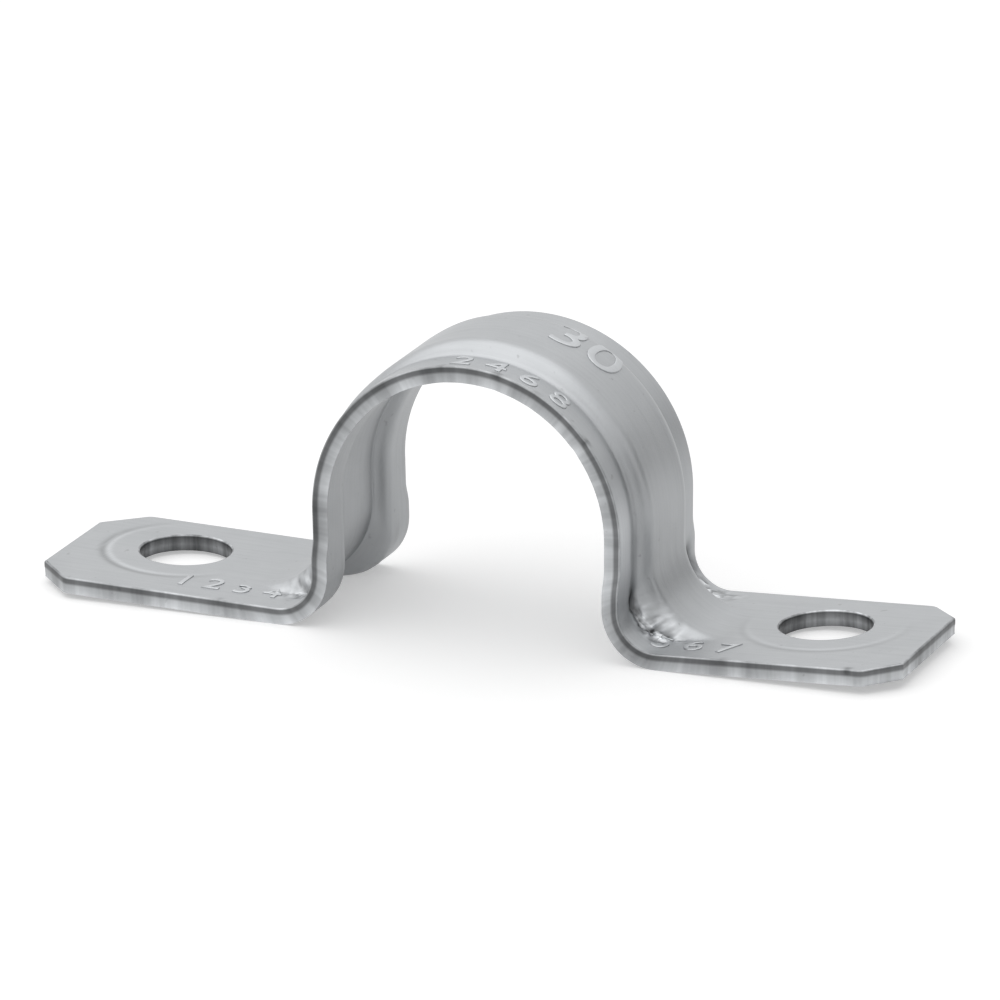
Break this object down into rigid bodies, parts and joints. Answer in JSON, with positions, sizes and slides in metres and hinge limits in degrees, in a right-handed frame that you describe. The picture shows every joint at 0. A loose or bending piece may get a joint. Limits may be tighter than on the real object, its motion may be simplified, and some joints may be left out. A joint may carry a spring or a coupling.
{
  "type": "conduit strap",
  "caption": "Pressed steel conduit strap: a ribbed half-round arch on two flat feet, each with a screw hole and cut corners.",
  "frame": {"origin": "middle of the mounting surface, half-way between the ends of the two feet and half-way across the sheet", "axes": "+X along the strap from foot to foot, +Y across it along the conduit, +Z away from the mounting surface"},
  "size_m": [0.0668, 0.0154, 0.0217],
  "materials": {
    "zinc_steel": "satin zinc plate"
  },
  "bodies": {
    "root": {"strap": "zinc_steel"}
  },
  "joints": []
}
